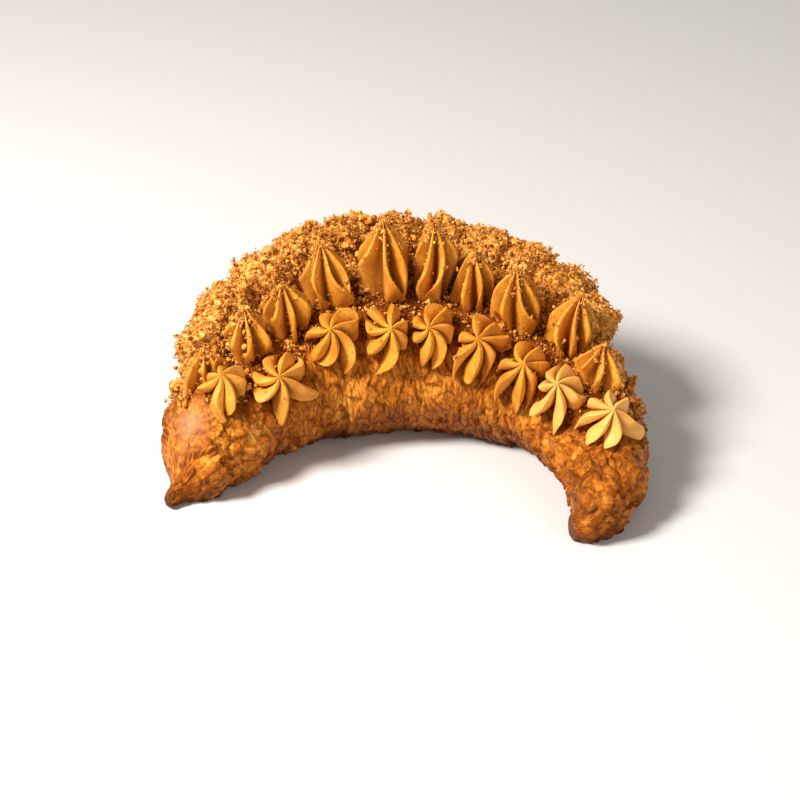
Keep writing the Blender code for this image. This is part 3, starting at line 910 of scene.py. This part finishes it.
def nearest_on(line, places):
    """Index of the line's point under each place, worked out in parts to save memory."""
    return np.concatenate([
        np.argmin(((part[:, None, :2] - line[None]) ** 2).sum(-1), axis=1)
        for part in np.array_split(places, MEMORY_PARTS)
    ])


def crumb_chances(row, star, centres, share, out, rear, up):
    """How likely crumbs are on each face of a piece, and how deep they lie there."""
    if row == "dough":
        inside = smooth_step(*CRUMBED_START, share) * (1 - smooth_step(*CRUMBED_END, share))
        chance = smooth_step(*DOUGH_OUT, out) * inside * smooth_step(*DOUGH_UP, up) * DOUGH_CHANCE
        least, more = HEAP_DEPTH
        return chance, least + more * smooth_step(*HEAP_OUT, out) * smooth_step(*HEAP_UP, up)
    if row == "back":
        return smooth_step(*BACK_UP, up) * BACK_CHANCE, BACK_DEPTH * smooth_step(*BACK_DEPTH_UP, up)
    if row == "ridge":
        rise = (centres - np.array(star.seat)) @ np.array(star.axis) / star.height
        peak = coat_past(RIDGE_PEAK, rise, noise_at(centres, *COAT_NOISE))
        anywhere, behind, at_peak = RIDGE_CHANCES
        chance = anywhere + behind * smooth_step(*RIDGE_REAR, rear) * smooth_step(*RIDGE_UP, up)
        chance = (chance + at_peak * peak) * (1 + LEFT_MORE * smooth_step(*LEFT_END, share))
        return chance, RIDGE_DEPTH[0] + RIDGE_DEPTH[1] * peak
    return FRONT_CHANCE * smooth_step(*FRONT_UP, up), np.zeros_like(up)


def spots_for_crumbs(dough, crust, piped):
    """Where crumbs can lie, the way out from there, how likely each place is and how deep."""
    spots, ways, chances, depths = [], [], [], []
    line_shares = np.linspace(0.0, 1.0, LINE_POINTS)
    spine = dough.at(line_shares)
    line, half = spine[:, :2], spine[:, 2]
    outward = -dough.inward(line_shares)
    for obj, row, star in [(crust, "dough", None)] + piped:
        centres, normals, areas = faces_of(obj)
        near = nearest_on(line, centres)
        out = ((centres[:, :2] - line[near]) * outward[near]).sum(1) / half[near]
        rear = (normals[:, :2] * outward[near]).sum(1)
        share = near / (LINE_POINTS - 1)
        chance, deep = crumb_chances(row, star, centres, share, out, rear, normals[:, 2])
        spots.append(centres)
        ways.append(normals)
        chances.append(chance * areas)
        depths.append(deep)
    return map(np.concatenate, (spots, ways, chances, depths))


def scatter_crumbs(dough, crust, piped, surface, low, high):
    """One mesh of loose crumbs for each grade, kept inside a box."""
    rng = np.random.default_rng(CRUMB_SEED)
    spots, ways, chances, depths = spots_for_crumbs(dough, crust, piped)
    for grade in GRADES:
        shapes = crumb_shapes(grade.level, rng)
        weights = chances * depths**grade.pile
        picks = rng.choice(len(spots), grade.count, p=weights / weights.sum())
        radius = grade.low + (grade.high - grade.low) * rng.random(grade.count) ** SMALL_SHARE
        stacked = rng.random(grade.count) * depths[picks]
        centres = spots[picks] + rng.normal(0.0, CRUMB_STRAY, (grade.count, 3))
        centres = centres + ways[picks] * (radius * CRUMB_STAND + stacked)[:, None]
        turns = random_turns(grade.count, rng)
        reach = radius[:, None] * CRUMB_REACH
        inside = np.all((centres - reach > low) & (centres + reach < high), axis=1)
        kind = rng.integers(CRUMB_SHAPES, size=grade.count)
        points, faces, total = [], [], 0
        for k in np.nonzero(inside)[0]:
            shape, shape_faces = shapes[kind[k]]
            points.append(shape * radius[k] @ turns[k] + centres[k])
            faces.append(shape_faces + total)
            total += len(shape)
        faces = np.concatenate(faces).tolist()
        piece = mesh_object(grade.name, np.concatenate(points), faces, surface, smooth=False)
        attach(piece, "root")


def add(tree, kind, inputs=None, **settings):
    """A node with its settings, and its inputs set to values or linked from sockets."""
    made = tree.nodes.new(kind)
    for key, value in settings.items():
        setattr(made, key, value)
    for key, value in (inputs or {}).items():
        if isinstance(value, bpy.types.NodeSocket):
            tree.links.new(value, made.inputs[key])
        else:
            made.inputs[key].default_value = value
    return made


def ramp(tree, factor, stops):
    """Colour by a mask, from stops of a place and a colour."""
    made = tree.nodes.new("ShaderNodeValToRGB")
    while len(made.color_ramp.elements) < len(stops):
        made.color_ramp.elements.new(0.5)
    for element, (place, colour) in zip(made.color_ramp.elements, stops):
        element.position = place
        element.color = (*colour, 1.0)
    tree.links.new(factor, made.inputs["Fac"])
    return made.outputs["Color"]


def blend_colour(tree, mask, below, above):
    """One colour laid over another by a mask. above is a colour or a socket."""
    if not isinstance(above, bpy.types.NodeSocket):
        above = (*above, 1.0)
    inputs = {MIX_FACTOR: mask, MIX_BELOW: below, MIX_ABOVE: above}
    return add(tree, "ShaderNodeMix", inputs, data_type="RGBA").outputs[MIX_RESULT]


def stretched_noise(tree, place, scale, detail):
    """Noise whose features are drawn out along one of the place's directions."""
    moved = add(tree, "ShaderNodeMapping", {"Vector": place, "Scale": scale}).outputs["Vector"]
    settings = {"Vector": moved, "Scale": 1.0, "Detail": detail, "Roughness": 0.64, "Distortion": 0.4}
    return add(tree, "ShaderNodeTexNoise", settings).outputs["Fac"]


def maths(tree, how, a, b=0.0, clamp=False):
    made = add(tree, "ShaderNodeMath", {0: a, 1: b}, operation=how, use_clamp=clamp)
    return made.outputs[0]


def plus(tree, total, socket, weight):
    """A total with one more mask added by its weight."""
    return maths(tree, "ADD", total, maths(tree, "MULTIPLY", socket, weight))


def shared_effect(name, inputs, outputs):
    """An empty node group with its sockets, and its input and output nodes."""
    group = bpy.data.node_groups.new(name, "ShaderNodeTree")
    for label, value in inputs.items():
        socket = group.interface.new_socket(name=label, in_out="INPUT", socket_type="NodeSocketFloat")
        socket.default_value = value
    for label, kind in outputs.items():
        group.interface.new_socket(name=label, in_out="OUTPUT", socket_type=kind)
    return group, group.nodes.new("NodeGroupInput"), group.nodes.new("NodeGroupOutput")


def grain_effect():
    """Fine grain: a height and a spotted mask, by the size of its features."""
    group, entry, leave = shared_effect(
        "food_grain", {"Scale": 900.0, "Spot Scale": 1400.0, "Spot Amount": 0.2},
        {"Height": "NodeSocketFloat", "Spots": "NodeSocketFloat"},
    )
    place = add(group, "ShaderNodeTexCoord").outputs["Object"]
    noisy = {"Vector": place, "Scale": entry.outputs["Scale"], "Detail": 4.0, "Roughness": 0.65}
    rough = add(group, "ShaderNodeTexNoise", noisy)
    cells = add(group, "ShaderNodeTexVoronoi", {"Vector": place, "Scale": entry.outputs["Spot Scale"]})
    keep = add(group, "ShaderNodeSeparateColor", {"Color": cells.outputs["Color"]}).outputs["Red"]
    chosen = maths(group, "LESS_THAN", keep, entry.outputs["Spot Amount"])
    round_spot = maths(group, "LESS_THAN", cells.outputs["Distance"], SPECK_RADIUS)
    group.links.new(rough.outputs["Fac"], leave.inputs["Height"])
    group.links.new(maths(group, "MULTIPLY", chosen, round_spot), leave.inputs["Spots"])
    return group


def crumb_tones_effect():
    """Grain by grain tones of the crumbs, from dark baked to pale golden, with their height."""
    group, _, leave = shared_effect(
        "crumb_tones", {}, {"Color": "NodeSocketColor", "Height": "NodeSocketFloat"},
    )
    place = add(group, "ShaderNodeTexCoord").outputs["Object"]
    cells = add(group, "ShaderNodeTexVoronoi", {"Vector": place, "Scale": 950.0})
    tone = add(group, "ShaderNodeSeparateColor", {"Color": cells.outputs["Color"]}).outputs["Green"]
    drift = add(group, "ShaderNodeTexNoise", {"Vector": place, "Scale": 60.0, "Detail": 3.0})
    tone = plus(group, maths(group, "MULTIPLY", tone, OWN_TONE), drift.outputs["Fac"], DRIFTING_TONE)
    group.links.new(ramp(group, tone, CRUMB_TONES), leave.inputs["Color"])
    group.links.new(cells.outputs["Distance"], leave.inputs["Height"])
    return group


def new_material(name, roughness, specular, tint=(1.0, 1.0, 1.0)):
    made = bpy.data.materials.new(name)
    made.use_nodes = True
    shader = made.node_tree.nodes["Principled BSDF"]
    shader.inputs["Roughness"].default_value = roughness
    shader.inputs["Specular IOR Level"].default_value = specular
    shader.inputs["Specular Tint"].default_value = (*tint, 1.0)
    return made, made.node_tree, shader


def use_effect(tree, group, values):
    """A shared effect placed in a material with its own values."""
    made = tree.nodes.new("ShaderNodeGroup")
    made.node_tree = group
    for key, value in values.items():
        made.inputs[key].default_value = value
    return made


def crust_material(grain):
    made, tree, shader = new_material("baked_crust", 0.4, 0.3, CRUST_SHINE)
    bake = add(tree, "ShaderNodeVertexColor", layer_name="bake").outputs["Color"]
    channels = add(tree, "ShaderNodeSeparateColor", {"Color": bake})
    skin = add(tree, "ShaderNodeUVMap", uv_map="skin").outputs["UV"]
    streaks = stretched_noise(tree, skin, (95.0, 42.0, 1.0), 7.0)
    patches = stretched_noise(tree, skin, (30.0, 20.0, 1.0), 5.0)
    dark = maths(tree, "MULTIPLY", streaks, DARK_STREAKS)
    dark = plus(tree, dark, patches, DARK_PATCHES)
    # the crust's baked dark, with the painted shade under the cream
    dark = plus(tree, dark, channels.outputs["Red"], DARK_BAKED_AND_SHADED)
    dark = plus(tree, dark, channels.outputs["Blue"], DARK_RIMS)
    dark = maths(tree, "SUBTRACT", dark, LIGHTENED, clamp=True)
    colour = ramp(tree, dark, CRUST_TONES)
    rosy = maths(tree, "MULTIPLY", channels.outputs["Green"], BLOOM_TINT)
    colour = blend_colour(tree, rosy, colour, CRUST_BLOOM)
    fine = use_effect(tree, grain, {"Scale": 700.0, "Spot Scale": 900.0, "Spot Amount": 0.14})
    spots = maths(tree, "MULTIPLY", fine.outputs["Spots"], CRUST_SPECK_TINT)
    colour = blend_colour(tree, spots, colour, CRUST_SPECK)
    height = plus(tree, streaks, fine.outputs["Height"], CRUST_GRAIN)
    bump = add(tree, "ShaderNodeBump", {"Height": height, "Strength": 0.9, "Distance": 0.0009})
    tree.links.new(colour, shader.inputs["Base Color"])
    tree.links.new(bump.outputs["Normal"], shader.inputs["Normal"])
    gloss = {"Value": patches, "From Min": 0.35, "From Max": 0.65, "To Min": 0.24, "To Max": 0.5}
    tree.links.new(add(tree, "ShaderNodeMapRange", gloss).outputs["Result"], shader.inputs["Roughness"])
    return made


def mask_of(tree, name):
    return add(tree, "ShaderNodeAttribute", attribute_name=name).outputs["Fac"]


def cream_material(grain, tones):
    made, tree, shader = new_material("coffee_cream", 0.42, 0.32, WARM_SHINE)
    shader.inputs["Subsurface Weight"].default_value = 0.06
    shader.inputs["Subsurface Radius"].default_value = CREAM_DEPTH
    shader.inputs["Subsurface Scale"].default_value = 0.0022
    place = add(tree, "ShaderNodeTexCoord").outputs["Object"]
    noisy = {"Vector": place, "Scale": 130.0, "Detail": 4.0, "Roughness": 0.6}
    mottle = add(tree, "ShaderNodeTexNoise", noisy).outputs["Fac"]
    base = ramp(tree, mottle, ((0.3, CREAM_SHADE), (0.62, CREAM)))
    fine = use_effect(tree, grain, {"Scale": 1500.0, "Spot Scale": 1300.0, "Spot Amount": 0.22})
    specks = maths(tree, "MULTIPLY", fine.outputs["Spots"], CREAM_SPECK_TINT)
    base = blend_colour(tree, specks, base, CREAM_SPECK)
    coat = mask_of(tree, "coat")
    # painted shade in the valleys between the petals
    painted_valley_shade = maths(tree, "MULTIPLY", mask_of(tree, "hollow"), VALLEY_SHADE_TINT)
    base = blend_colour(tree, painted_valley_shade, base, CREAM_VALLEY_SHADE)
    # painted light on the most strongly lit stars
    base = blend_colour(tree, mask_of(tree, "pale"), base, CREAM_LIT)
    crumbs = use_effect(tree, tones, {})
    base = blend_colour(tree, coat, base, crumbs.outputs["Color"])
    height = plus(tree, mottle, fine.outputs["Height"], CREAM_GRAIN)
    height = plus(tree, height, fine.outputs["Spots"], CREAM_SPECK_RISE)
    crumbly = maths(tree, "MULTIPLY", crumbs.outputs["Height"], COAT_RISE)
    height = maths(tree, "ADD", height, maths(tree, "MULTIPLY", coat, crumbly))
    bump = add(tree, "ShaderNodeBump", {"Height": height, "Strength": 0.5, "Distance": 0.0005})
    tree.links.new(base, shader.inputs["Base Color"])
    tree.links.new(bump.outputs["Normal"], shader.inputs["Normal"])
    return made


def crumb_material(grain, tones):
    made, tree, shader = new_material("golden_crumb", 0.62, 0.3, WARM_SHINE)
    colour = use_effect(tree, tones, {}).outputs["Color"]
    fine = use_effect(tree, grain, {"Scale": 1800.0, "Spot Scale": 1700.0, "Spot Amount": 0.16})
    spots = maths(tree, "MULTIPLY", fine.outputs["Spots"], CRUMB_SPECK_TINT)
    colour = blend_colour(tree, spots, colour, CRUMB_SPECK)
    grainy = {"Height": fine.outputs["Height"], "Strength": 0.6, "Distance": 0.0004}
    bump = add(tree, "ShaderNodeBump", grainy)
    tree.links.new(colour, shader.inputs["Base Color"])
    tree.links.new(bump.outputs["Normal"], shader.inputs["Normal"])
    return made


def studio():
    """Pale floor, soft lights and the camera."""
    floor_material, _, shader = new_material("pale_floor", 0.6, 0.2)
    shader.inputs["Base Color"].default_value = (*FLOOR_TONE, 1.0)
    size = FLOOR_SIZE
    corners = [(-size, -size, 0), (size, -size, 0), (size, size, 0), (-size, size, 0)]
    mesh_object("floor", corners, [(0, 1, 2, 3)], floor_material)
    world = bpy.data.worlds.new("soft_room")
    bpy.context.scene.world = world
    world.use_nodes = True
    world.node_tree.nodes["Background"].inputs["Color"].default_value = (*ROOM_TONE, 1.0)
    world.node_tree.nodes["Background"].inputs["Strength"].default_value = ROOM_LIGHT
    for lamp in LAMPS:
        hang_lamp(lamp)
    camera = bpy.data.objects.new("camera", bpy.data.cameras.new("camera"))
    back = Vector((0.0, -math.cos(ELEVATION), math.sin(ELEVATION)))
    camera.location = (AIM - Vector(ORIGIN)) * MM + back * DISTANCE
    camera.rotation_euler = (-back).to_track_quat("-Z", "Y").to_euler()
    camera.data.sensor_width = SENSOR_WIDTH
    camera.data.lens = FOCAL_LENGTH
    bpy.context.scene.collection.objects.link(camera)
    bpy.context.scene.camera = camera
    bpy.context.scene.view_settings.view_transform = "Standard"


def hang_lamp(lamp):
    """A square lamp turned towards the frame's origin."""
    data = bpy.data.lights.new(lamp.name, "AREA")
    data.size = lamp.size
    data.energy = lamp.watts
    obj = bpy.data.objects.new(lamp.name, data)
    obj.location = lamp.place
    obj.rotation_euler = (-Vector(lamp.place)).to_track_quat("-Z", "Y").to_euler()
    bpy.context.scene.collection.objects.link(obj)


def dress():
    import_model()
    solid_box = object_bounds()
    grain = grain_effect()
    tones = crumb_tones_effect()
    crust_finish = crust_material(grain)
    cream_finish = cream_material(grain, tones)
    crumb_finish = crumb_material(grain, tones)
    dough = Dough()
    crust = bake_crust(dough, crust_finish)
    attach(crust, "root")
    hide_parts("croissant")
    seat = dough.surface(np.linspace(0, 1, SEAT_RINGS), ring_angles(SEAT_POINTS)).reshape(-1, 3)
    tree = BVHTree.FromPolygons(seat.tolist(), grid_faces(SEAT_RINGS, SEAT_POINTS))
    stars = place_stars(dough)
    piped = [(pipe_star(star, stars, tree, cream_finish), star.row.name, star) for star in stars]
    piped.append((crumb_bed(dough, tree, crumb_finish), "back", None))
    low = np.array(solid_box[0]) / MM + ORIGIN - BOX_MARGIN
    high = np.array(solid_box[1]) / MM + ORIGIN + BOX_MARGIN
    low[2] += FLOOR_GAP
    scatter_crumbs(dough, crust, piped, crumb_finish, low, high)
    studio()


dress()
